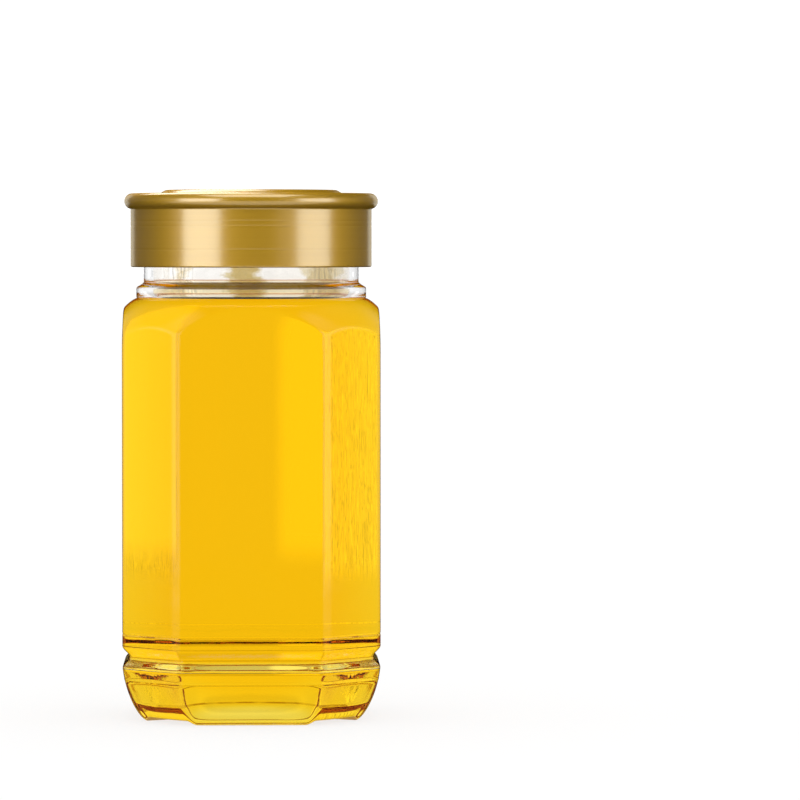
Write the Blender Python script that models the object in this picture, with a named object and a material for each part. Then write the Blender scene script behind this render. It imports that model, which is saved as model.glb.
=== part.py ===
"""Square honey jar: a clear glass jar with cut corners, its honey and a gold screw cap.

Units are metres, +Z up. The origin is the middle of the base, on the surface that the jar stands
on, and one broad face looks along -Y. Every piece is a stack of closed outlines round the Z axis.
"""
import math

import bmesh
import bpy

# Plan of the glass: four broad faces, four cut corners, and a round form that rules base and shoulder
FACE = 0.0409
CORNER = 0.0455
FULL_ROUND = 0.0495
EDGE_SHARPNESS = 64
ROUND_SHARPNESS = 45

# Heel and base
HEEL_RISE = 0.0180
HEEL_FACE_INSET = 0.0075
HEEL_CORNER_INSET = 0.0080
HEEL_BEND = 1.6
HEEL_ROUND_RISE = 0.0220
HEEL_ROUND = 0.0380
HEEL_POWER = 1.25
BEARING_INNER = 0.0290
PUSH_UP = 0.0012

# Rise of the base under the cut corners: how high, up to what height, and from what radius and angle
CORNER_LIFT = 0.0012
LIFT_REACH = 0.0060
LIFT_INNER = 0.0200
LIFT_START = 27
LIFT_SPREAD = 6

# Waist groove, and the scored line at the foot of the label panels
GROOVE_HEIGHT = 0.0205
GROOVE_HALF = 0.0036
GROOVE_DEPTH = 0.0023
LINE_HEIGHT = 0.0279
LINE_HALF = 0.0005
LINE_DEPTH = 0.0002

# Shoulder
SHOULDER_START = 0.1165
SHOULDER_TOP = 0.1338
SHOULDER_ROUND = 0.0365
SHOULDER_POWER = 1.36

# Collar, neck and rim
COLLAR = 0.0367
COLLAR_TOP = 0.1375
COLLAR_EDGE = 0.0004
FLARE_POWER = 1.6
NECK = 0.0343
NECK_START = 0.1390
RIM = 0.1648
RIM_EDGE = 0.0010

# Inside of the glass
WALL = 0.0030
FLOOR = 0.0080
FLOOR_CROWN = 0.0010
FLOOR_ROUND = 0.0300
INNER_HEEL_RISE = 0.0160
INNER_HEEL_INSET = 0.0060
INNER_SHOULDER_TOP = 0.1337
NECK_INNER = 0.0315

# Honey
HONEY_LEVEL = 0.1334
GAP = 0.0003

# Cap
SKIRT = 0.0385
SKIRT_INNER = 0.0366
SKIRT_BOTTOM = 0.1437
BEAD_BOTTOM = 0.1622
BEAD_TOP = 0.1672
BEAD_RADIUS = 0.0405
PLATEAU = 0.0297
PLATEAU_SLOPE = 0.0042
VALLEY = 0.1664
CAP_TOP = 0.1683
CAP_EDGE = 0.0004

# Fineness of the solids
OCTANT_STEPS = (0, 10, 19, 26, 31, 37)
HEEL_RINGS = 7
GROOVE_RINGS = 6
SHOULDER_RINGS = 9
FLARE_RINGS = 3
INNER_RINGS = 7
BEAD_RINGS = 9


def quarter(share, power):
    """Rise from 0 to 1 along a quarter of a superellipse that starts upright and ends flat."""
    share = min(max(share, 0.0), 1.0)
    return (1 - (1 - share) ** power) ** (1 / power)


def soft_min(first, second, sharpness):
    """The smaller of two lengths, with the change from one to the other rounded."""
    least = min(first, second)
    return least * ((least / first) ** sharpness + (least / second) ** sharpness) ** (-1 / sharpness)


def section_radius(section, angle):
    """Distance from the axis to the outline at an angle, 0 being the middle of a broad face."""
    face, corner, round_radius = section
    if face is None:
        return round_radius
    eighth = math.pi / 4
    folded = abs((angle + eighth) % (2 * eighth) - eighth)
    sides = soft_min(face / math.cos(folded), corner / math.cos(eighth - folded), EDGE_SHARPNESS)
    return soft_min(sides, round_radius, ROUND_SHARPNESS)


def circle(radius):
    return (None, None, radius)


def smooth(share):
    share = min(max(share, 0.0), 1.0)
    return share * share * (3 - 2 * share)


def base_lift(height, radius, angle):
    """Rise of the base under the cut corners, so that the jar stands on its broad sides."""
    eighth = math.pi / 4
    folded = abs((angle + eighth) % (2 * eighth) - eighth)
    corner = smooth((math.degrees(folded) - LIFT_START) / LIFT_SPREAD)
    outward = smooth((radius - LIFT_INNER) / (BEARING_INNER - LIFT_INNER))
    return CORNER_LIFT * corner * outward * max(0.0, 1 - height / LIFT_REACH)


def crown(share):
    """Rise of the domed floor at a share of its radius."""
    return FLOOR_CROWN * (1 + math.cos(math.pi * share)) / 2


def outer_section(height):
    """Outside of the glass from the base to the top of the shoulder."""
    heel = 1 - quarter(height / HEEL_RISE, HEEL_BEND)
    reach = min(abs(height - GROOVE_HEIGHT) / GROOVE_HALF, 1.0)
    groove = GROOVE_DEPTH * (1 + math.cos(math.pi * reach)) / 2
    scored = LINE_DEPTH * max(0.0, 1 - abs(height - LINE_HEIGHT) / LINE_HALF)
    low = quarter(height / HEEL_ROUND_RISE, HEEL_POWER)
    high = quarter((SHOULDER_TOP - height) / (SHOULDER_TOP - SHOULDER_START), SHOULDER_POWER)
    low_round = HEEL_ROUND + (FULL_ROUND - HEEL_ROUND) * low
    high_round = SHOULDER_ROUND + (FULL_ROUND - SHOULDER_ROUND) * high
    return (FACE - scored - groove - HEEL_FACE_INSET * heel,
            CORNER - scored - groove - HEEL_CORNER_INSET * heel,
            min(low_round, high_round) - scored - groove)


def inner_section(height, inset=0.0):
    """Inside of the glass from the floor to the top of the shoulder, or a skin inset from it."""
    heel = 1 - quarter((height - FLOOR - inset) / INNER_HEEL_RISE, 2)
    low = quarter((height - FLOOR - inset) / (INNER_HEEL_RISE + WALL), HEEL_POWER)
    span = INNER_SHOULDER_TOP - SHOULDER_START
    high = quarter((INNER_SHOULDER_TOP - height) / span, SHOULDER_POWER)
    full = FULL_ROUND - WALL
    low_round = FLOOR_ROUND + (full - FLOOR_ROUND) * low
    high_round = NECK_INNER + (full - NECK_INNER) * high
    return (FACE - WALL - inset - INNER_HEEL_INSET * heel,
            CORNER - WALL - inset - INNER_HEEL_INSET * heel,
            min(low_round, high_round) - inset)


def steps(start, end, count):
    """Heights from start to end, closer together near the start."""
    return [start + (end - start) * (index / count) ** 2 for index in range(count + 1)]


def glass_rings():
    """Rings of the jar, from under the base, up the outside, over the rim and down the inside."""
    rings = [(PUSH_UP * (1 - share ** 2), circle(BEARING_INNER * share)) for share in (0.5, 0.85, 1.0)]
    rings += [(height, outer_section(height)) for height in steps(0.0, HEEL_RISE - 0.001, HEEL_RINGS)]
    for index in range(GROOVE_RINGS + 1):
        height = GROOVE_HEIGHT + GROOVE_HALF * (2 * index / GROOVE_RINGS - 1)
        rings.append((height, outer_section(height)))
    for height in (LINE_HEIGHT - LINE_HALF, LINE_HEIGHT, LINE_HEIGHT + LINE_HALF, SHOULDER_START):
        rings.append((height, outer_section(height)))
    shoulder = steps(SHOULDER_TOP, SHOULDER_START, SHOULDER_RINGS)[-2:0:-1]
    rings += [(height, outer_section(height)) for height in shoulder]
    rings += [(SHOULDER_TOP, circle(COLLAR)), (COLLAR_TOP - COLLAR_EDGE, circle(COLLAR)),
              (COLLAR_TOP, circle(COLLAR - COLLAR_EDGE))]
    for index in range(1, FLARE_RINGS + 1):
        share = index / FLARE_RINGS
        flare = (COLLAR - COLLAR_EDGE - NECK) * (1 - share) ** FLARE_POWER
        rings.append((COLLAR_TOP + (NECK_START - COLLAR_TOP) * share, circle(NECK + flare)))
    rings += [(RIM - RIM_EDGE, circle(NECK)), (RIM, circle(NECK - RIM_EDGE)),
              (RIM, circle(NECK_INNER + RIM_EDGE)), (RIM - RIM_EDGE, circle(NECK_INNER))]
    inner = steps(INNER_SHOULDER_TOP, SHOULDER_START, INNER_RINGS)
    rings += [(height, inner_section(height)) for height in inner]
    inner = steps(FLOOR, FLOOR + INNER_HEEL_RISE, INNER_RINGS)
    rings += [(height, inner_section(height)) for height in reversed(inner)]
    rings += [(FLOOR + crown(share), circle(FLOOR_ROUND * share)) for share in (0.9, 0.6, 0.3)]
    return PUSH_UP, rings, FLOOR + FLOOR_CROWN


def honey_rings():
    """Rings of the honey, from its underside to its level in the neck of the shoulder."""
    inner = steps(FLOOR + GAP, FLOOR + GAP + INNER_HEEL_RISE, INNER_RINGS)
    rings = [(FLOOR + GAP + crown(share), circle(FLOOR_ROUND * share)) for share in (0.3, 0.6, 0.9)]
    rings += [(height, inner_section(height, GAP)) for height in inner]
    shoulder = steps(HONEY_LEVEL, SHOULDER_START, INNER_RINGS)
    rings += [(height, inner_section(height, GAP)) for height in reversed(shoulder)]
    return FLOOR + GAP + FLOOR_CROWN, rings, HONEY_LEVEL


def cap_rings():
    """Rings of the cap, from under its top, down the inside, and up the outside to the plateau."""
    under = RIM + GAP
    rings = [(under, circle(SKIRT_INNER - CAP_EDGE)), (under - CAP_EDGE, circle(SKIRT_INNER)),
             (SKIRT_BOTTOM + CAP_EDGE, circle(SKIRT_INNER)), (SKIRT_BOTTOM, circle(SKIRT_INNER + CAP_EDGE)),
             (SKIRT_BOTTOM, circle(SKIRT - CAP_EDGE)), (SKIRT_BOTTOM + CAP_EDGE, circle(SKIRT)),
             (BEAD_BOTTOM, circle(SKIRT))]
    middle = (BEAD_BOTTOM + BEAD_TOP) / 2
    half = (BEAD_TOP - BEAD_BOTTOM) / 2
    for index in range(BEAD_RINGS):
        turn = math.radians(-60 + 190 * index / (BEAD_RINGS - 1))
        rings.append((middle + half * math.sin(turn), circle(BEAD_RADIUS - half + half * math.cos(turn))))
    outer = PLATEAU + 0.3 * PLATEAU_SLOPE
    for share in (0.0, 0.25, 0.5, 0.75, 1.0):
        height = VALLEY + (CAP_TOP - VALLEY) * smooth(share)
        rings.append((height, circle(outer - PLATEAU_SLOPE * share)))
    return under, rings, CAP_TOP


def ring_angles():
    """Angles of one ring's points, the same for every ring, closer together at the upright edges."""
    angles = []
    for octant in range(8):
        start = math.radians(45 * octant)
        if octant % 2 == 0:
            angles += [start + math.radians(step) for step in OCTANT_STEPS]
        else:
            angles += [start + math.radians(45 - step) for step in (45,) + OCTANT_STEPS[:0:-1]]
    return angles


def loft(name, first_height, rings, last_height):
    """Close the rings into one solid, with a fan of triangles at each end."""
    bm = bmesh.new()
    angles = ring_angles()
    loops = []
    for height, section in rings:
        loop = []
        for angle in angles:
            radius = section_radius(section, angle)
            lifted = height + base_lift(height, radius, angle)
            loop.append(bm.verts.new((radius * math.sin(angle), -radius * math.cos(angle), lifted)))
        loops.append(loop)
    first = bm.verts.new((0, 0, first_height))
    last = bm.verts.new((0, 0, last_height))
    count = len(angles)
    for index in range(count):
        following = (index + 1) % count
        bm.faces.new((first, loops[0][index], loops[0][following]))
        bm.faces.new((last, loops[-1][following], loops[-1][index]))
        for below, above in zip(loops, loops[1:]):
            bm.faces.new((below[index], above[index], above[following], below[following]))
    bmesh.ops.recalc_face_normals(bm, faces=bm.faces)
    bmesh.ops.triangulate(bm, faces=bm.faces)
    mesh = bpy.data.meshes.new(name)
    bm.to_mesh(mesh)
    bm.free()
    mesh.shade_smooth()
    mesh.set_sharp_from_angle(angle=math.radians(40))
    piece = bpy.data.objects.new(name, mesh)
    bpy.context.scene.collection.objects.link(piece)
    return piece


def principled(name, colour, roughness, metallic=0.0, transmission=0.0, ior=1.5):
    material = bpy.data.materials.new(name)
    material.use_nodes = True
    shader = material.node_tree.nodes["Principled BSDF"]
    shader.inputs["Base Color"].default_value = (*colour, 1.0)
    shader.inputs["Roughness"].default_value = roughness
    shader.inputs["Metallic"].default_value = metallic
    shader.inputs["Transmission Weight"].default_value = transmission
    shader.inputs["IOR"].default_value = ior
    return material


def build():
    for old in list(bpy.data.objects):
        bpy.data.objects.remove(old, do_unlink=True)
    jar = loft("glass_jar", *glass_rings())
    jar.data.materials.append(principled("clear_glass", (0.95, 0.97, 0.96), 0.02, transmission=1.0))
    honey = loft("honey", *honey_rings())
    honey.data.materials.append(principled("honey", (0.95, 0.62, 0.03), 0.05, transmission=0.8))
    cap = loft("cap", *cap_rings())
    cap.data.materials.append(principled("gold_cap", (0.62, 0.43, 0.13), 0.32, metallic=1.0))


build()
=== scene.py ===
"""Looks of the square honey jar: clear glass, golden honey and a satin gold cap, in soft studio light.

Units are metres. The pieces are stacks of closed outlines round the Z axis, finer than the solids
that they stand for.
"""
import math

import bmesh
import bpy
from mathutils import Matrix, Vector


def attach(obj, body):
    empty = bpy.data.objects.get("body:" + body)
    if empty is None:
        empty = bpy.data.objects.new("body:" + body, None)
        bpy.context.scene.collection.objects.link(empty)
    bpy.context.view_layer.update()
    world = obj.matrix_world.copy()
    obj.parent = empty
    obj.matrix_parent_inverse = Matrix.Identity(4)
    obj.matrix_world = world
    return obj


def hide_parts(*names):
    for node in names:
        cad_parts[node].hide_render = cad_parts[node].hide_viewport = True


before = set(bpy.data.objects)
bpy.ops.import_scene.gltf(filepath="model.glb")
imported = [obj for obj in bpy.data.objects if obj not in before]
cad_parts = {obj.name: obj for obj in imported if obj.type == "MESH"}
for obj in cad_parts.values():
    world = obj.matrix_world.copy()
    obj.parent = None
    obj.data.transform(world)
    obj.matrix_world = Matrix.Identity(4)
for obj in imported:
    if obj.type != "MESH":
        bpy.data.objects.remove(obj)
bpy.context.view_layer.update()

# Points of a ring in one eighth of a turn
GLASS_POINTS = 34
CAP_POINTS = 20

# Plan of the glass: distances to a broad face, a cut corner and the round form that both end in
FACE = 0.0409
CORNER = 0.0455
FULL_ROUND = 0.0495
EDGE_SHARPNESS = 64
ROUND_SHARPNESS = 45

# Heel and base
HEEL_RISE = 0.0180
HEEL_FACE_INSET = 0.0075
HEEL_CORNER_INSET = 0.0080
HEEL_BEND = 1.6
HEEL_ROUND_RISE = 0.0220
HEEL_ROUND = 0.0380
HEEL_POWER = 1.25
BEARING_INNER = 0.0290
PUSH_UP = 0.0012
CORNER_LIFT = 0.0012
LIFT_REACH = 0.0060
LIFT_INNER = 0.0200
LIFT_WIDTH = 0.0090
LIFT_START = 27
LIFT_SPREAD = 6
STIPPLE_INNER = 0.0270
# The amber of the base ring is painted light: the glow of the honey, painted on clear glass
STIPPLE_PAINTED_GLOW = (0.97, 0.78, 0.28, 1.0)
STIPPLE_TOP = 0.0006

# Waist groove, and fine lines round the glass: height, half width and how far each stands out
GROOVE_HEIGHT = 0.0205
GROOVE_HALF = 0.0036
GROOVE_DEPTH = 0.0023
MOULD_LINES = ((0.0279, 0.00050, -0.00011), (0.0133, 0.00050, 0.00007))

# Shoulder, and the fine bead along its arched meeting with each side
SHOULDER_START = 0.1165
SHOULDER_TOP = 0.1338
SHOULDER_ROUND = 0.0365
SHOULDER_POWER = 1.36
BEAD_RISE = 0.00030
BEAD_SPREAD = 0.0010

# Collar, neck and rim
COLLAR = 0.0367
COLLAR_TOP = 0.1375
FLARE_POWER = 1.6
NECK = 0.0343
NECK_START = 0.1390
RIM = 0.1648
RIM_ROUND = 0.0013
COLLAR_FOOT_ROUND = 0.0003
COLLAR_TOP_ROUND = 0.0007

# Inside of the glass
WALL = 0.0030
FLOOR = 0.0080
FLOOR_CROWN = 0.0010
FLOOR_EDGE = 0.0086
# Patches of painted shade, deep and faint, along the edge of the floor inside
FLOOR_EDGE_PAINTED_DEEP_SHADE = (0.34, 0.20, 0.05, 1.0)
FLOOR_EDGE_PAINTED_FAINT_SHADE = (0.82, 0.72, 0.50, 1.0)
FLOOR_ROUND = 0.0300
INNER_HEEL_RISE = 0.0160
INNER_HEEL_INSET = 0.0060
INNER_SHOULDER_TOP = 0.1337
NECK_INNER = 0.0315

# Honey: its level, its colour and strength in depth, and the froth on it
HONEY_LEVEL = 0.1334
HONEY_COLOUR = (0.990, 0.888, 0.03, 1.0)
HONEY_DENSITY = 75.0
FROTH_COLOUR = (0.84, 0.57, 0.05, 1.0)
HONEY_REACH = 0.0001
HONEY_INDEX = 1.52
GLASS_INDEX = 1.52
MENISCUS = 0.0003

# Cap
SKIRT = 0.0385
SKIRT_INNER = 0.0366
SKIRT_BOTTOM = 0.1437
BEAD_BOTTOM = 0.1622
BEAD_TOP = 0.1672
BEAD_RADIUS = 0.0405
PLATEAU = 0.0297
PLATEAU_SLOPE = 0.0042
VALLEY = 0.1664
CAP_TOP = 0.1683
CAP_UNDER = 0.1651
SCORES = (0.1583, 0.1567, 0.1493)
SCORE_HALF = 0.0004
SCORE_DEPTH = 0.00005
CAP_ROUND = 0.0005
GOLD_COLOUR = (0.176, 0.103, 0.0070, 1.0)
GOLD_EDGE = (0.70, 0.52, 0.20, 1.0)

# Camera and lights
PHOTO_SIDE = 800
PHOTO_AXIS = (251.3, 716.0)
PHOTO_HORIZON = 238.0
PIXELS_A_METRE = 3125.0
CAMERA_DISTANCE = 1.616
SENSOR = 0.036
FLOOR_GLOW = 0.78
STRIPE_WIDTH = 0.004
STRIPE_RATE = 1.2
WORLD_STRENGTH = 1.40
SOFTBOX_COLOUR = (0.985, 0.97, 0.84)

# Cards behind each side of the jar; an edge card's side, where it starts and its strength
PANEL_CARD_DISTANCE = 0.12
PANEL_CARD_STRENGTH = 1.22
EDGE_CARD_DISTANCE = 0.45
EDGE_CARD_WIDTH = 0.23
EDGE_CARD_STREAKS = 0.42
EDGE_CARDS = (("left", -0.27, 1.36), ("right", 0.04, 1.14))

# Drawn streaks in the glass of the cut corners: where |x| + |y| reaches them, over what distance they
# come up, and their share of the bump
CORNER_REACH = 0.0635
CORNER_FADE = 0.004
STREAK_SHARE = 2.0

# Painted reflection of the cap's gold and painted highlights in the neck, laid out as a honey film: how far
# its edges wander, its colours, how much deeper it is inside the collar, and its gold from left to right
FILM_WANDER = 0.016
FILM_PAINTED_HIGHLIGHT = (0.96, 0.94, 0.91)
FILM_PAINTED_REFLECTION = (0.56, 0.41, 0.14)
COLLAR_PAINTED_REFLECTION = (0.88, 0.78, 0.50)
COLLAR_FADE = 0.0006
FILM_REFLECTION_RUNS = ((0.0, 0.15), (0.09, 0.05), (0.15, 0.85), (0.18, 0.05), (0.37, 0.05), (0.40, 1.0),
             (0.53, 1.0), (0.57, 0.1), (0.76, 0.15), (0.80, 0.9), (0.92, 0.9), (0.96, 0.2))

# Share of the world's strength, by how far a ray points sideways, back and up
THROUGH_BY_SIDE = ((0.0, 0.75), (0.13, 0.75), (0.24, 0.99), (0.52, 0.99), (0.60, 0.60), (0.80, 0.60),
                   (1.0, 0.80))
THROUGH_BY_HEIGHT = ((0.0, 0.90), (0.45, 1.0), (0.55, 1.0), (0.80, 0.70), (1.0, 0.60))
MIRRORED_BY_SIDE = ((0.0, 0.02), (0.35, 0.02), (0.50, 0.75), (0.97, 0.75), (0.998, 0.11))
MIRRORED_BY_DEPTH = ((0.50, 1.0), (0.58, 0.25))
MIRRORED_BY_HEIGHT = ((0.0, 0.15), (0.463, 0.30), (0.470, 1.0), (0.66, 1.0), (0.80, 0.25), (1.0, 0.60))


def quarter(share, power):
    """Rise from 0 to 1 along a quarter of a superellipse that starts upright and ends flat."""
    share = min(max(share, 0.0), 1.0)
    return (1 - (1 - share) ** power) ** (1 / power)


def soft_min(first, second, sharpness):
    """The smaller of two lengths, with the change from one to the other rounded."""
    least = min(first, second)
    return least * ((least / first) ** sharpness + (least / second) ** sharpness) ** (-1 / sharpness)


def section_radius(section, angle):
    """Distance from the axis to the outline at an angle, 0 being the middle of a broad face."""
    face, corner, round_radius = section
    if face is None:
        return round_radius
    eighth = math.pi / 4
    folded = abs((angle + eighth) % (2 * eighth) - eighth)
    sides = soft_min(face / math.cos(folded), corner / math.cos(eighth - folded), EDGE_SHARPNESS)
    radius = soft_min(sides, round_radius, ROUND_SHARPNESS)
    if face == FACE:
        radius += BEAD_RISE * math.exp(-((sides - round_radius) / BEAD_SPREAD) ** 2)
    return radius


def circle(radius):
    """Section of a round ring."""
    return (None, None, radius)


def smooth(share):
    """Rise from 0 to 1 that starts and ends level."""
    share = min(max(share, 0.0), 1.0)
    return share * share * (3 - 2 * share)


def base_lift(height, radius, angle):
    """Rise of the base under the cut corners, so that the jar stands on its broad sides."""
    eighth = math.pi / 4
    folded = abs((angle + eighth) % (2 * eighth) - eighth)
    corner = smooth((folded - math.radians(LIFT_START)) / math.radians(LIFT_SPREAD))
    outer = smooth((radius - LIFT_INNER) / LIFT_WIDTH)
    return CORNER_LIFT * corner * outer * max(0.0, 1 - height / LIFT_REACH)


def outer_section(height):
    """Outside of the glass from the base to the top of the shoulder."""
    heel = 1 - quarter(height / HEEL_RISE, HEEL_BEND)
    reach = min(abs(height - GROOVE_HEIGHT) / GROOVE_HALF, 1.0)
    groove = GROOVE_DEPTH * (1 + math.cos(math.pi * reach)) / 2
    proud = 0.0
    for middle, half, rise in MOULD_LINES:
        proud += rise * max(0.0, 1 - abs(height - middle) / half)
    low = quarter(height / HEEL_ROUND_RISE, HEEL_POWER)
    high = quarter((SHOULDER_TOP - height) / (SHOULDER_TOP - SHOULDER_START), SHOULDER_POWER)
    low_round = HEEL_ROUND + (FULL_ROUND - HEEL_ROUND) * low
    high_round = SHOULDER_ROUND + (FULL_ROUND - SHOULDER_ROUND) * high
    return (FACE + proud - groove - HEEL_FACE_INSET * heel,
            CORNER + proud - groove - HEEL_CORNER_INSET * heel,
            min(low_round, high_round) + proud - groove)


def inner_section(height, inset=0.0):
    """Inside of the glass from the floor to the top of the shoulder, or a skin inset from it."""
    heel = 1 - quarter((height - FLOOR - inset) / INNER_HEEL_RISE, 2)
    low = quarter((height - FLOOR - inset) / (INNER_HEEL_RISE + WALL), HEEL_POWER)
    span = INNER_SHOULDER_TOP - SHOULDER_START
    high = quarter((INNER_SHOULDER_TOP - height) / span, SHOULDER_POWER)
    full = FULL_ROUND - WALL
    low_round = FLOOR_ROUND + (full - FLOOR_ROUND) * low
    high_round = NECK_INNER + (full - NECK_INNER) * high
    return (FACE - WALL - inset - INNER_HEEL_INSET * heel,
            CORNER - WALL - inset - INNER_HEEL_INSET * heel,
            min(low_round, high_round) - inset)


def steps(start, end, count, power=1.0):
    """Heights from start to end; a power above 1 sets them closer together near the start."""
    return [start + (end - start) * (index / count) ** power for index in range(count + 1)]


def arc(centre_radius, centre_height, radius, start, end, count):
    """Rings along an arc of the profile, angles in degrees from level outwards, upwards."""
    rings = []
    for turn in steps(math.radians(start), math.radians(end), count):
        height = centre_height + radius * math.sin(turn)
        rings.append((height, circle(centre_radius + radius * math.cos(turn))))
    return rings


def crown(share):
    """Rise of the domed floor at a share of its radius."""
    return FLOOR_CROWN * (1 + math.cos(math.pi * share)) / 2


def glass_rings():
    """Rings of the jar, from under the base, up the outside, over the rim and down the inside."""
    rings = [(PUSH_UP * (1 + math.cos(math.pi * share)) / 2, circle(BEARING_INNER * share))
             for share in steps(0.06, 1.0, 16)]
    foot = steps(0.0, HEEL_RISE - 0.001, 34, 1.8)
    for middle, half, rise in MOULD_LINES[1:]:
        foot = [height for height in foot if abs(height - middle) > 1.2 * half]
        foot = sorted(foot + steps(middle - half, middle + half, 6))
    rings += [(height, outer_section(height)) for height in foot]
    groove = steps(GROOVE_HEIGHT - GROOVE_HALF, GROOVE_HEIGHT + GROOVE_HALF, 26)
    middle, half, rise = MOULD_LINES[0]
    band = steps(middle - half, middle + half, 8)
    body = steps(middle + half + 0.0002, 0.032, 8) + steps(0.036, SHOULDER_START - 0.002, 20)
    shoulder = steps(SHOULDER_TOP - 0.00002, SHOULDER_START, 44, 1.7)[::-1]
    between = steps(groove[-1] + 0.0004, band[0] - 0.0002, 8)
    rings += [(height, outer_section(height)) for height in groove + between + band + body + shoulder]
    rings += arc(COLLAR - COLLAR_FOOT_ROUND, SHOULDER_TOP + 0.0004, COLLAR_FOOT_ROUND, -60, 0, 4)
    rings += arc(COLLAR - COLLAR_TOP_ROUND, COLLAR_TOP - COLLAR_TOP_ROUND, COLLAR_TOP_ROUND, 0, 60, 6)
    for share in steps(0.06, 1.0, 10):
        flare = (COLLAR - 0.0004 - NECK) * (1 - share) ** FLARE_POWER
        rings.append((COLLAR_TOP + (NECK_START - COLLAR_TOP) * share, circle(NECK + flare)))
    rings += [(height, circle(NECK)) for height in steps(NECK_START + 0.001, RIM - 0.003, 6)]
    rings += arc(NECK - RIM_ROUND, RIM - RIM_ROUND, RIM_ROUND, 0, 180, 12)
    rings += [(RIM - 0.0030, circle(NECK_INNER + 0.0001)), (0.1500, circle(NECK_INNER))]
    rings += [(height, circle(NECK_INNER)) for height in (0.1420, 0.1400, 0.1380, 0.1360, 0.1345)]
    upper = steps(INNER_SHOULDER_TOP - 0.0001, SHOULDER_START, 36, 1.7)
    middle = steps(SHOULDER_START - 0.002, FLOOR + INNER_HEEL_RISE + 0.002, 30)
    lower = steps(FLOOR, FLOOR + INNER_HEEL_RISE, 30, 1.8)[::-1]
    rings += [(height, inner_section(height)) for height in upper + middle + lower]
    rings += [(FLOOR + crown(share), circle(FLOOR_ROUND * share)) for share in steps(0.96, 0.08, 14)]
    return PUSH_UP, rings, FLOOR + FLOOR_CROWN


def honey_rings():
    """Rings of the honey, from its underside to its level, just inside the wall of the glass."""
    inset = -HONEY_REACH
    rings = [(FLOOR + inset + crown(share), circle(FLOOR_ROUND * share)) for share in steps(0.08, 0.96, 14)]
    lower = steps(FLOOR + inset, FLOOR + inset + INNER_HEEL_RISE, 30, 1.8)
    middle = steps(FLOOR + INNER_HEEL_RISE + 0.002, SHOULDER_START - 0.002, 30)
    shoulder = steps(HONEY_LEVEL + MENISCUS, SHOULDER_START, 34, 1.5)[::-1]
    rings += [(height, inner_section(height, inset)) for height in lower + middle + shoulder]
    edge = section_radius(inner_section(HONEY_LEVEL), math.pi / 4)
    for share in steps(0.0, 1.0, 10):
        rings.append((HONEY_LEVEL + MENISCUS * (1 - share) ** 3, circle(edge - 0.0004 - 0.004 * share)))
    rings += [(HONEY_LEVEL, circle(edge * share)) for share in (0.6, 0.3, 0.1)]
    return FLOOR + inset + FLOOR_CROWN, rings, HONEY_LEVEL


def cap_rings():
    """Rings of the cap, from under its top, down the inside, and up the outside to the plateau."""
    rings = [(CAP_UNDER, circle(SKIRT_INNER * share)) for share in (0.3, 0.7, 0.95)]
    rings += arc(SKIRT_INNER - 0.0006, CAP_UNDER - 0.0006, 0.0006, 90, 0, 5)
    rings += [(SKIRT_BOTTOM + CAP_ROUND, circle(SKIRT_INNER))]
    rings += arc(SKIRT_INNER + CAP_ROUND, SKIRT_BOTTOM + CAP_ROUND, CAP_ROUND, 180, 270, 5)
    rings += arc(SKIRT - CAP_ROUND, SKIRT_BOTTOM + CAP_ROUND, CAP_ROUND, 270, 360, 6)
    for height in steps(SKIRT_BOTTOM + 0.0012, BEAD_BOTTOM - 0.0003, 84):
        scored = sum(max(0.0, 1 - abs(height - middle) / SCORE_HALF) for middle in SCORES)
        rings.append((height, circle(SKIRT - SCORE_DEPTH * scored)))
    middle = (BEAD_BOTTOM + BEAD_TOP) / 2
    half = (BEAD_TOP - BEAD_BOTTOM) / 2
    rings += arc(BEAD_RADIUS - half, middle, half, -78, 128, 40)
    rings += [(VALLEY, circle(PLATEAU + 0.0060)), (VALLEY, circle(PLATEAU + 0.0030))]
    for share in steps(0.0, 1.0, 12):
        height = VALLEY + (CAP_TOP - VALLEY) * smooth(share)
        rings.append((height, circle(PLATEAU + (0.3 - share) * PLATEAU_SLOPE)))
    rings += [(CAP_TOP, circle(PLATEAU * share)) for share in (0.6, 0.3, 0.1)]
    return CAP_UNDER, rings, CAP_TOP


def ring_angles(octant_steps):
    """Angles of one ring's points, closer together at the eight rounded upright edges."""
    crest = math.radians(29.2)
    spread = math.radians(5)
    fine = 2000
    weights = []
    for index in range(fine):
        angle = math.pi / 4 * (index + 0.5) / fine
        weights.append(1 + 2.5 * math.exp(-((angle - crest) / spread) ** 2))
    total = sum(weights)
    octant = []
    passed = 0.0
    for index, weight in enumerate(weights):
        if passed >= total * len(octant) / octant_steps:
            octant.append(math.pi / 4 * index / fine)
        passed += weight
    angles = []
    for number in range(8):
        start = math.pi / 4 * number
        if number % 2 == 0:
            angles += [start + step for step in octant]
        else:
            angles += [start + math.pi / 4 - step for step in [math.pi / 4] + octant[:0:-1]]
    return angles


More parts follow.
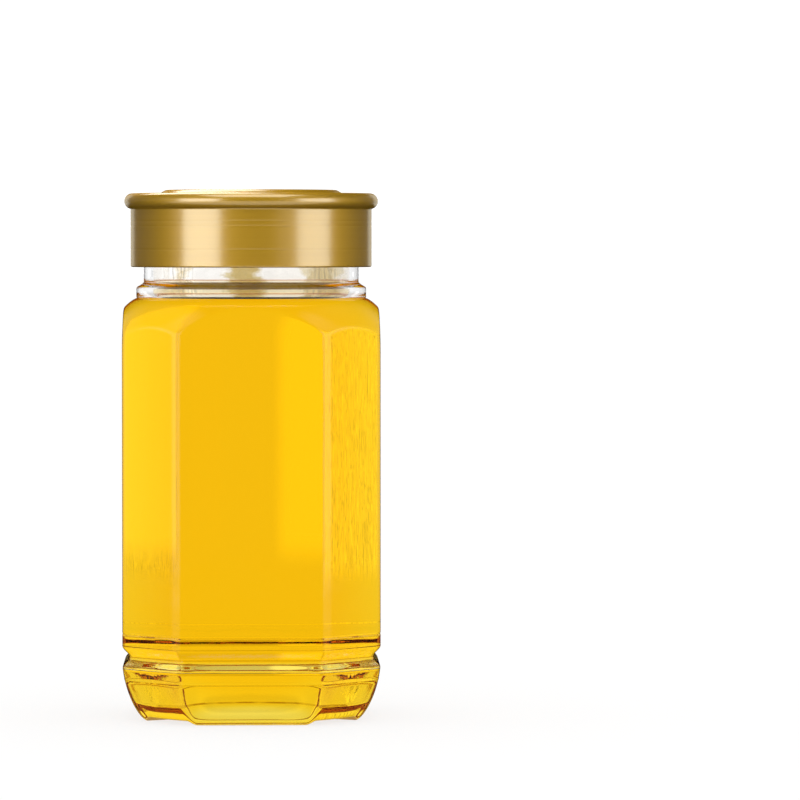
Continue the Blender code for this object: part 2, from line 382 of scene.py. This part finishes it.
def loft(name, first_height, rings, last_height, octant_steps, zones=()):
    """Close the rings into one smooth piece, with a fan of triangles at each end.

    A zone is the number of a material and the span of its bands of faces, the first fan being band 0.
    """
    bm = bmesh.new()
    angles = ring_angles(octant_steps)
    loops = []
    for height, section in rings:
        loop = []
        for angle in angles:
            radius = section_radius(section, angle)
            lifted = height + base_lift(height, radius, angle)
            loop.append(bm.verts.new((radius * math.sin(angle), -radius * math.cos(angle), lifted)))
        loops.append(loop)
    first = bm.verts.new((0, 0, first_height))
    last = bm.verts.new((0, 0, last_height))
    count = len(angles)
    for index in range(count):
        following = (index + 1) % count
        faces = [bm.faces.new((first, loops[0][following], loops[0][index]))]
        for below, above in zip(loops, loops[1:]):
            faces.append(bm.faces.new((below[index], below[following], above[following], above[index])))
        faces.append(bm.faces.new((last, loops[-1][index], loops[-1][following])))
        for material, start, end in zones:
            for face in faces[start:end]:
                face.material_index = material
    mesh = bpy.data.meshes.new(name)
    bm.to_mesh(mesh)
    bm.free()
    mesh.shade_smooth()
    piece = bpy.data.objects.new(name, mesh)
    bpy.context.scene.collection.objects.link(piece)
    return piece


def new_material(name):
    """Material with its nodes, links and Principled shader."""
    material = bpy.data.materials.new(name)
    material.use_nodes = True
    nodes = material.node_tree.nodes
    return material, nodes, material.node_tree.links, nodes["Principled BSDF"]


def glass_material(name, bend):
    """Clear moulded glass with a faint unevenness; bend is its index against what it touches."""
    material, nodes, links, shader = new_material(name)
    shader.inputs["Base Color"].default_value = (1.0, 1.0, 1.0, 1.0)
    shader.inputs["Roughness"].default_value = 0.0
    shader.inputs["IOR"].default_value = bend
    shader.inputs["Transmission Weight"].default_value = 1.0
    place = nodes.new("ShaderNodeTexCoord")
    ripple = nodes.new("ShaderNodeTexNoise")
    ripple.inputs["Scale"].default_value = 90.0
    ripple.inputs["Detail"].default_value = 2.0
    draw = nodes.new("ShaderNodeMapping")
    draw.inputs["Scale"].default_value = (1.0, 1.0, 0.05)
    streaks = nodes.new("ShaderNodeTexNoise")
    streaks.inputs["Scale"].default_value = 420.0
    streaks.inputs["Detail"].default_value = 3.0
    outward = nodes.new("ShaderNodeVectorMath")
    outward.operation = "ABSOLUTE"
    reach = nodes.new("ShaderNodeVectorMath")
    reach.operation = "DOT_PRODUCT"
    reach.inputs[1].default_value = (1.0, 1.0, 0.0)
    corner = nodes.new("ShaderNodeMapRange")
    corner.inputs["From Min"].default_value = CORNER_REACH - CORNER_FADE
    corner.inputs["From Max"].default_value = CORNER_REACH
    corner.inputs["To Max"].default_value = STREAK_SHARE
    both = nodes.new("ShaderNodeMath")
    both.operation = "MULTIPLY_ADD"
    bump = nodes.new("ShaderNodeBump")
    bump.inputs["Strength"].default_value = 0.06
    bump.inputs["Distance"].default_value = 0.0006
    links.new(place.outputs["Object"], ripple.inputs["Vector"])
    links.new(place.outputs["Object"], draw.inputs["Vector"])
    links.new(draw.outputs["Vector"], streaks.inputs["Vector"])
    links.new(place.outputs["Object"], outward.inputs[0])
    links.new(outward.outputs["Vector"], reach.inputs[0])
    links.new(reach.outputs["Value"], corner.inputs["Value"])
    links.new(streaks.outputs["Fac"], both.inputs[0])
    links.new(corner.outputs["Result"], both.inputs[1])
    links.new(ripple.outputs["Fac"], both.inputs[2])
    links.new(both.outputs["Value"], bump.inputs["Height"])
    links.new(bump.outputs["Normal"], shader.inputs["Normal"])
    return material


def vary_roughness(nodes, links, shader, scale, least, most):
    """Fine uneven grain in the roughness of a surface."""
    place = nodes.new("ShaderNodeTexCoord")
    grain = nodes.new("ShaderNodeTexNoise")
    grain.inputs["Scale"].default_value = scale
    rough = nodes.new("ShaderNodeMapRange")
    rough.inputs["To Min"].default_value = least
    rough.inputs["To Max"].default_value = most
    links.new(place.outputs["Object"], grain.inputs["Vector"])
    links.new(grain.outputs["Fac"], rough.inputs["Value"])
    links.new(rough.outputs["Result"], shader.inputs["Roughness"])


def painted_edge_shade_material(name, bend):
    """Glass along the edge of the floor inside, with patches of painted shade in its colour: darker lines
    painted along the moulded corner.
    """
    material = glass_material(name, bend)
    nodes = material.node_tree.nodes
    links = material.node_tree.links
    place = nodes.new("ShaderNodeTexCoord")
    patches = nodes.new("ShaderNodeTexNoise")
    patches.inputs["Scale"].default_value = 160.0
    # Ramp between deep and faint painted shade
    depth = nodes.new("ShaderNodeValToRGB")
    depth.color_ramp.elements[0].position = 0.40
    depth.color_ramp.elements[0].color = FLOOR_EDGE_PAINTED_DEEP_SHADE
    depth.color_ramp.elements[1].position = 0.62
    depth.color_ramp.elements[1].color = FLOOR_EDGE_PAINTED_FAINT_SHADE
    links.new(place.outputs["Object"], patches.inputs["Vector"])
    links.new(patches.outputs["Fac"], depth.inputs["Fac"])
    links.new(depth.outputs["Color"], nodes["Principled BSDF"].inputs["Base Color"])
    return material


def stipple_glow_material(name, bend):
    """Glass of the ring that the jar stands on, roughened by the mould so that it doesn't slip, with an
    amber tint of painted light: the honey's glow painted on clear glass.
    """
    material = glass_material(name, bend)
    nodes = material.node_tree.nodes
    links = material.node_tree.links
    shader = nodes["Principled BSDF"]
    # Painted light: the honey's glow as an amber tint of the base ring
    shader.inputs["Base Color"].default_value = STIPPLE_PAINTED_GLOW
    vary_roughness(nodes, links, shader, 900.0, 0.35, 0.75)
    return material


def painted_film_reflection_material(name, bend):
    """Glass tinted gold as a thin uneven film of honey; the gold is painted reflection of the cap, and the
    clearer runs are painted highlights.
    """
    material = glass_material(name, bend)
    nodes = material.node_tree.nodes
    links = material.node_tree.links
    place = nodes.new("ShaderNodeTexCoord")
    stretch = nodes.new("ShaderNodeMapping")
    stretch.inputs["Scale"].default_value = (1.0, 1.0, 2.2)
    patches = nodes.new("ShaderNodeTexNoise")
    patches.inputs["Scale"].default_value = 130.0
    patches.inputs["Detail"].default_value = 5.0
    split = nodes.new("ShaderNodeSeparateXYZ")
    shift = nodes.new("ShaderNodeMath")
    shift.operation = "MULTIPLY_ADD"
    shift.inputs[1].default_value = FILM_WANDER
    across = nodes.new("ShaderNodeMapRange")
    across.inputs["From Min"].default_value = -NECK_INNER + FILM_WANDER / 2
    across.inputs["From Max"].default_value = NECK_INNER + FILM_WANDER / 2
    # Painted reflection of the cap's gold, with near clear runs as painted highlights, from left to right
    painted_reflection = nodes.new("ShaderNodeValToRGB")
    elements = painted_reflection.color_ramp.elements
    while len(elements) < len(FILM_REFLECTION_RUNS):
        elements.new(0.5)
    for element, (position, share) in zip(elements, FILM_REFLECTION_RUNS):
        element.position = position
        tint = [clear + (thick - clear) * share for clear, thick in zip(FILM_PAINTED_HIGHLIGHT, FILM_PAINTED_REFLECTION)]
        element.color = tint + [1.0]
    links.new(place.outputs["Object"], split.inputs["Vector"])
    links.new(place.outputs["Object"], stretch.inputs["Vector"])
    links.new(stretch.outputs["Vector"], patches.inputs["Vector"])
    links.new(patches.outputs["Fac"], shift.inputs[0])
    links.new(split.outputs["X"], shift.inputs[2])
    links.new(shift.outputs["Value"], across.inputs["Value"])
    links.new(across.outputs["Result"], painted_reflection.inputs["Fac"])
    # Deeper gold inside the collar: painted reflection of the cap's inside
    low = nodes.new("ShaderNodeMapRange")
    low.inputs["From Min"].default_value = COLLAR_TOP
    low.inputs["From Max"].default_value = COLLAR_TOP - COLLAR_FADE
    collar_reflection = nodes.new("ShaderNodeMix")
    collar_reflection.data_type = "RGBA"
    collar_reflection.blend_type = "MULTIPLY"
    collar_reflection.inputs[7].default_value = COLLAR_PAINTED_REFLECTION + (1.0,)
    links.new(split.outputs["Z"], low.inputs["Value"])
    links.new(low.outputs["Result"], collar_reflection.inputs[0])
    links.new(painted_reflection.outputs["Color"], collar_reflection.inputs[6])
    links.new(collar_reflection.outputs[2], nodes["Principled BSDF"].inputs["Base Color"])
    return material


def honey_material(name, bend):
    """Clear golden honey, which takes up blue first and then green."""
    material, nodes, links, shader = new_material(name)
    shader.inputs["Base Color"].default_value = (1.0, 1.0, 1.0, 1.0)
    shader.inputs["Roughness"].default_value = 0.0
    shader.inputs["IOR"].default_value = bend
    shader.inputs["Transmission Weight"].default_value = 1.0
    absorb = nodes.new("ShaderNodeVolumeAbsorption")
    absorb.inputs["Color"].default_value = HONEY_COLOUR
    absorb.inputs["Density"].default_value = HONEY_DENSITY
    links.new(absorb.outputs["Volume"], nodes["Material Output"].inputs["Volume"])
    return material


def froth_material(name, bend):
    """Top of the honey, with a thin uneven froth of fine bubbles on it."""
    material, nodes, links, shader = new_material(name)
    shader.inputs["Base Color"].default_value = FROTH_COLOUR
    shader.inputs["IOR"].default_value = bend
    shader.inputs["Transmission Weight"].default_value = 0.25
    vary_roughness(nodes, links, shader, 700.0, 0.15, 0.55)
    return material


def gold_material():
    """Satin gold coating, brushed round the axis."""
    material, nodes, links, shader = new_material("satin_gold")
    shader.inputs["Base Color"].default_value = GOLD_COLOUR
    shader.inputs["Metallic"].default_value = 1.0
    shader.inputs["Specular Tint"].default_value = GOLD_EDGE
    shader.inputs["Coat Weight"].default_value = 0.5
    shader.inputs["Coat IOR"].default_value = 1.75
    shader.inputs["Coat Roughness"].default_value = 0.21
    place = nodes.new("ShaderNodeTexCoord")
    split = nodes.new("ShaderNodeSeparateXYZ")
    across = nodes.new("ShaderNodeVectorMath")
    across.operation = "MULTIPLY"
    across.inputs[1].default_value = (1.0, 1.0, 0.0)
    radius = nodes.new("ShaderNodeVectorMath")
    radius.operation = "LENGTH"
    join = nodes.new("ShaderNodeCombineXYZ")
    stretch = nodes.new("ShaderNodeVectorMath")
    stretch.operation = "MULTIPLY"
    stretch.inputs[1].default_value = (6.0, 1800.0, 1800.0)
    lines = nodes.new("ShaderNodeTexNoise")
    lines.inputs["Scale"].default_value = 1.0
    lines.inputs["Detail"].default_value = 3.0
    rough = nodes.new("ShaderNodeMapRange")
    rough.inputs["To Min"].default_value = 0.58
    rough.inputs["To Max"].default_value = 0.72
    bump = nodes.new("ShaderNodeBump")
    bump.inputs["Strength"].default_value = 0.15
    bump.inputs["Distance"].default_value = 0.0001
    links.new(place.outputs["Object"], split.inputs["Vector"])
    links.new(place.outputs["Object"], across.inputs[0])
    links.new(across.outputs["Vector"], radius.inputs[0])
    links.new(split.outputs["X"], join.inputs["X"])
    links.new(radius.outputs["Value"], join.inputs["Y"])
    links.new(split.outputs["Z"], join.inputs["Z"])
    links.new(join.outputs["Vector"], stretch.inputs[0])
    links.new(stretch.outputs["Vector"], lines.inputs["Vector"])
    links.new(lines.outputs["Fac"], rough.inputs["Value"])
    links.new(rough.outputs["Result"], shader.inputs["Roughness"])
    links.new(lines.outputs["Fac"], bump.inputs["Height"])
    links.new(bump.outputs["Normal"], shader.inputs["Normal"])
    return material


def add_piece(piece, materials, node):
    """Give a piece its materials and put it in the place of its solid."""
    for material in materials:
        piece.data.materials.append(material)
    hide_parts(node)
    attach(piece, "root")


def add_floor():
    """Pale floor with a faint glow of its own, which isn't mirrored in the jar."""
    bm = bmesh.new()
    bmesh.ops.create_grid(bm, x_segments=8, y_segments=8, size=20)
    mesh = bpy.data.meshes.new("floor")
    bm.to_mesh(mesh)
    bm.free()
    floor = bpy.data.objects.new("floor", mesh)
    bpy.context.scene.collection.objects.link(floor)
    material, nodes, links, shader = new_material("pale_floor")
    shader.inputs["Base Color"].default_value = (0.21, 0.21, 0.21, 1.0)
    shader.inputs["Roughness"].default_value = 0.6
    shader.inputs["Specular IOR Level"].default_value = 0.0
    shader.inputs["Emission Color"].default_value = (1.0, 1.0, 1.0, 1.0)
    shader.inputs["Emission Strength"].default_value = FLOOR_GLOW
    mesh.materials.append(material)
    floor.visible_glossy = False


def add_light(name, place, target, width, height, radiance, lit, shading=None):
    """Softbox of that radiance on the lit pieces alone, which the camera doesn't see.

    With shading given, only the pieces of that group throw shadows.
    """
    data = bpy.data.lights.new(name, "AREA")
    data.shape = "RECTANGLE"
    data.size = width
    data.size_y = height
    data.energy = radiance * math.pi * width * height
    data.color = SOFTBOX_COLOUR
    light = bpy.data.objects.new(name, data)
    light.location = place
    light.rotation_euler = (Vector(target) - Vector(place)).to_track_quat("-Z", "Y").to_euler()
    light.visible_camera = False
    light.light_linking.receiver_collection = lit
    if shading:
        light.light_linking.blocker_collection = shading
        light.visible_glossy = False
        light.visible_transmission = False
    bpy.context.scene.collection.objects.link(light)


def light_group(name, pieces):
    """Collection of the pieces that a set of softboxes lights."""
    group = bpy.data.collections.new(name)
    for piece in pieces:
        group.objects.link(piece)
    return group


def add_backing(name, turn, distance, low, high, strength, soft, streaks=0.0):
    """Bright upright card with soft edges behind one side of the jar, seen only through the glass.

    Streaks is the share of its brightness that uneven upright stripes take away.
    """
    width, height = high[0] - low[0], high[1] - low[1]
    bm = bmesh.new()
    corners = [bm.verts.new((x, 0, z)) for x, z in ((-0.5, -0.5), (0.5, -0.5), (0.5, 0.5), (-0.5, 0.5))]
    bm.faces.new(corners)
    mesh = bpy.data.meshes.new(name)
    bm.to_mesh(mesh)
    bm.free()
    card = bpy.data.objects.new(name, mesh)
    middle = Vector(((low[0] + high[0]) / 2, distance, (low[1] + high[1]) / 2))
    card.location = Matrix.Rotation(turn, 3, "Z") @ middle
    card.rotation_euler = (0, 0, turn)
    card.scale = (width, 1, height)
    material = bpy.data.materials.new(name)
    material.use_nodes = True
    nodes = material.node_tree.nodes
    links = material.node_tree.links
    nodes.remove(nodes["Principled BSDF"])
    glow = nodes.new("ShaderNodeEmission")
    clear = nodes.new("ShaderNodeBsdfTransparent")
    fade = nodes.new("ShaderNodeMixShader")
    place = nodes.new("ShaderNodeTexCoord")
    draw = nodes.new("ShaderNodeMapping")
    draw.inputs["Scale"].default_value = (width / STRIPE_WIDTH, 1.0, height * STRIPE_RATE)
    stripes = nodes.new("ShaderNodeTexNoise")
    stripes.inputs["Scale"].default_value = 1.0
    stripes.inputs["Detail"].default_value = 1.0
    level = nodes.new("ShaderNodeMapRange")
    level.inputs["From Min"].default_value = 0.40
    level.inputs["From Max"].default_value = 0.54
    level.inputs["To Min"].default_value = strength * (1 - streaks)
    level.inputs["To Max"].default_value = strength
    links.new(place.outputs["Object"], draw.inputs["Vector"])
    links.new(draw.outputs["Vector"], stripes.inputs["Vector"])
    links.new(stripes.outputs["Fac"], level.inputs["Value"])
    links.new(level.outputs["Result"], glow.inputs["Strength"])
    split = nodes.new("ShaderNodeSeparateXYZ")
    links.new(place.outputs["Object"], split.inputs["Vector"])
    shares = []
    for axis, blur in (("X", soft[0] / width), ("Z", soft[1] / height)):
        away = nodes.new("ShaderNodeMath")
        away.operation = "ABSOLUTE"
        ramp = nodes.new("ShaderNodeMapRange")
        ramp.interpolation_type = "SMOOTHSTEP"
        ramp.inputs["From Min"].default_value = 0.5 - blur
        ramp.inputs["From Max"].default_value = 0.5
        ramp.inputs["To Min"].default_value = 1.0
        ramp.inputs["To Max"].default_value = 0.0
        links.new(split.outputs[axis], away.inputs[0])
        links.new(away.outputs["Value"], ramp.inputs["Value"])
        shares.append(ramp.outputs["Result"])
    both = nodes.new("ShaderNodeMath")
    both.operation = "MULTIPLY"
    links.new(shares[0], both.inputs[0])
    links.new(shares[1], both.inputs[1])
    links.new(both.outputs["Value"], fade.inputs["Fac"])
    links.new(clear.outputs["BSDF"], fade.inputs[1])
    links.new(glow.outputs["Emission"], fade.inputs[2])
    links.new(fade.outputs["Shader"], nodes["Material Output"].inputs["Surface"])
    mesh.materials.append(material)
    card.visible_camera = False
    card.visible_glossy = False
    card.visible_diffuse = False
    card.visible_shadow = False
    bpy.context.scene.collection.objects.link(card)


def mirrored_ray(nodes, links):
    """Values that are 1 for rays that a surface mirrors, and for rays that pass through glass."""
    paths = nodes.new("ShaderNodeLightPath")
    mirrored = nodes.new("ShaderNodeMath")
    mirrored.operation = "SUBTRACT"
    mirrored.use_clamp = True
    links.new(paths.outputs["Is Glossy Ray"], mirrored.inputs[0])
    links.new(paths.outputs["Is Transmission Ray"], mirrored.inputs[1])
    return mirrored.outputs["Value"], paths.outputs["Is Transmission Ray"]


def add_ramp(nodes, links, value, stops):
    """Node that reads a strength from value, along straight lines between the stops."""
    ramp = nodes.new("ShaderNodeValToRGB")
    elements = ramp.color_ramp.elements
    while len(elements) < len(stops):
        elements.new(0.5)
    for element, (position, strength) in zip(elements, stops):
        element.position = position
        element.color = (strength, strength, strength, 1.0)
    links.new(value, ramp.inputs["Fac"])
    return ramp.outputs["Color"]


def add_mix(nodes, links, share, first, second):
    """Node that goes from first to second as share goes from 0 to 1."""
    mix = nodes.new("ShaderNodeMix")
    mix.data_type = "RGBA"
    links.new(share, mix.inputs["Factor"])
    links.new(first, mix.inputs["A"])
    links.new(second, mix.inputs["B"])
    return mix.outputs["Result"]


def add_product(nodes, links, first, second):
    """Node that multiplies two colours."""
    product = nodes.new("ShaderNodeMix")
    product.data_type = "RGBA"
    product.blend_type = "MULTIPLY"
    product.inputs["Factor"].default_value = 1.0
    links.new(first, product.inputs["A"])
    links.new(second, product.inputs["B"])
    return product.outputs["Result"]


def add_world():
    """Studio that is white where it is seen directly, and shaded by direction through and in the glass."""
    world = bpy.data.worlds.new("studio")
    world.use_nodes = True
    nodes = world.node_tree.nodes
    links = world.node_tree.links
    mirrored, through = mirrored_ray(nodes, links)
    place = nodes.new("ShaderNodeTexCoord")
    split = nodes.new("ShaderNodeSeparateXYZ")
    side = nodes.new("ShaderNodeMath")
    side.operation = "ABSOLUTE"
    height = nodes.new("ShaderNodeMapRange")
    height.inputs["From Min"].default_value = -1.0
    links.new(place.outputs["Generated"], split.inputs["Vector"])
    links.new(split.outputs["X"], side.inputs[0])
    links.new(split.outputs["Z"], height.inputs["Value"])
    open_air = nodes.new("ShaderNodeRGB").outputs["Color"]
    open_air.default_value = (0.8, 0.8, 0.8, 1.0)
    wall = add_ramp(nodes, links, side.outputs["Value"], THROUGH_BY_SIDE)
    ceiling = add_ramp(nodes, links, height.outputs["Result"], THROUGH_BY_HEIGHT)
    seen = add_product(nodes, links, wall, ceiling)
    glints = add_ramp(nodes, links, side.outputs["Value"], MIRRORED_BY_SIDE)
    level = add_ramp(nodes, links, height.outputs["Result"], MIRRORED_BY_HEIGHT)
    depth = nodes.new("ShaderNodeMapRange")
    depth.inputs["From Min"].default_value = -1.0
    links.new(split.outputs["Y"], depth.inputs["Value"])
    behind = add_ramp(nodes, links, depth.outputs["Result"], MIRRORED_BY_DEPTH)
    glow = add_product(nodes, links, add_product(nodes, links, glints, behind), level)
    seen = add_mix(nodes, links, through, open_air, seen)
    seen = add_mix(nodes, links, mirrored, seen, glow)
    background = nodes["Background"]
    background.inputs["Strength"].default_value = WORLD_STRENGTH
    links.new(seen, background.inputs["Color"])
    bpy.context.scene.world = world


def add_camera():
    """Camera that puts the jar where the photograph has it, level with the neck."""
    scale = PIXELS_A_METRE * CAMERA_DISTANCE
    data = bpy.data.cameras.new("camera")
    data.sensor_width = SENSOR * 1000
    data.lens = scale * SENSOR * 1000 / PHOTO_SIDE
    data.clip_end = 100
    camera = bpy.data.objects.new("camera", data)
    height = (PHOTO_AXIS[1] - PHOTO_HORIZON) / PIXELS_A_METRE
    yaw = math.atan((PHOTO_SIDE / 2 - PHOTO_AXIS[0]) / scale)
    pitch = math.atan((PHOTO_SIDE / 2 - PHOTO_HORIZON) / scale)
    turn = Matrix.Rotation(-yaw, 4, "Z") @ Matrix.Rotation(math.pi / 2 - pitch, 4, "X")
    camera.matrix_world = Matrix.Translation((0, -CAMERA_DISTANCE, height)) @ turn
    bpy.context.scene.collection.objects.link(camera)
    bpy.context.scene.camera = camera


def glass_zones(rings):
    """Bands of the glass with a finish of their own, as the number of the finish and their span.

    They are the inside that touches honey, the inside above it with painted reflection and painted
    highlights laid out as a film of honey, the ring that the jar stands on with a painted glow, and the
    edge of the floor inside with painted shade.
    """
    top = max(range(len(rings)), key=lambda number: rings[number][0])
    inside = [(number, rings[number][0]) for number in range(top, len(rings))]
    touching = [number for number, height in inside if height <= HONEY_LEVEL + MENISCUS]
    bearing = [number for number, (height, section) in enumerate(rings[:top])
               if height < STIPPLE_TOP and section_radius(section, 0) > STIPPLE_INNER]
    edge = [number for number, height in inside
            if height < FLOOR_EDGE and rings[number][1][0] is not None]
    return ((1, touching[0] + 1, len(rings) + 1), (2, top + 1, touching[0] + 1),
            (3, bearing[0] + 1, bearing[-1] + 1), (4, edge[0] + 1, edge[-1] + 1))


under, rings, floor_height = glass_rings()
glass = loft("jar_glass", under, rings, floor_height, GLASS_POINTS, glass_zones(rings))
glass_finishes = (glass_material("clear_glass", GLASS_INDEX),
                  glass_material("wetted_glass", GLASS_INDEX / HONEY_INDEX),
                  painted_film_reflection_material("glass_painted_reflection", GLASS_INDEX),
                  stipple_glow_material("painted_glow_base_ring", GLASS_INDEX),
                  painted_edge_shade_material("painted_shade_floor_rim", GLASS_INDEX / HONEY_INDEX))
add_piece(glass, glass_finishes, "glass_jar")
under, rings, level = honey_rings()
surface = [number for number, (height, section) in enumerate(rings)
           if section[0] is None and height > SHOULDER_START]
honey = loft("jar_honey", under, rings, level, GLASS_POINTS, ((1, surface[0], len(rings) + 1),))
honey_finishes = (honey_material("honey_at_glass", 1.0), froth_material("honey_surface", HONEY_INDEX))
add_piece(honey, honey_finishes, "honey")
cap = loft("jar_cap", *cap_rings(), CAP_POINTS)
add_piece(cap, (gold_material(),), "cap")

add_floor()
add_world()
on_cap = light_group("lit_cap", (cap,))
add_light("left_softbox", (-0.98, -0.87, 0.30), (0, 0, 0.15), 0.92, 0.90, 12.0, on_cap)
add_light("right_softbox", (1.13, -0.61, 0.30), (0, 0, 0.15), 0.86, 0.90, 9.5, on_cap)
for side, across in (("left", -0.45), ("right", 0.45)):
    add_light(side + "_rim", (across, 1.15, 0.25), (0, 0, 0.15), 0.45, 0.60, 1.6, on_cap)
add_light("top_rim", (-0.24, 0.82, 1.12), (0, 0, 0.17), 0.6, 0.8, 12.0, on_cap)
add_light("headspace", (0, 0, 0.146), (0, 0, 0.20), 0.03, 0.03, 14.0, on_cap, on_cap)
add_light("overhead", (0, -0.35, 1.2), (0, 0, 0.1), 1.1, 0.9, 9.0, on_cap)
add_light("from_floor", (0, -0.50, 0.004), (0, -0.50, 1), 1.6, 0.8, 3.0, on_cap)
for number in range(4):
    turn = number * math.pi / 2
    add_backing("panel_card_%d" % number, turn, PANEL_CARD_DISTANCE, (0.0065, 0.040), (0.0550, 0.134),
                PANEL_CARD_STRENGTH, (0.006, 0.012))
    for side, start, strength in EDGE_CARDS:
        add_backing("edge_card_%s_%d" % (side, number), turn, EDGE_CARD_DISTANCE, (start, 0.008),
                    (start + EDGE_CARD_WIDTH, 0.35), strength, (0.02, 0.012), EDGE_CARD_STREAKS)
add_camera()

scene = bpy.context.scene
scene.view_settings.view_transform = "Standard"
scene.cycles.max_bounces = 24
scene.cycles.transmission_bounces = 24
scene.cycles.glossy_bounces = 12
scene.cycles.transparent_max_bounces = 16
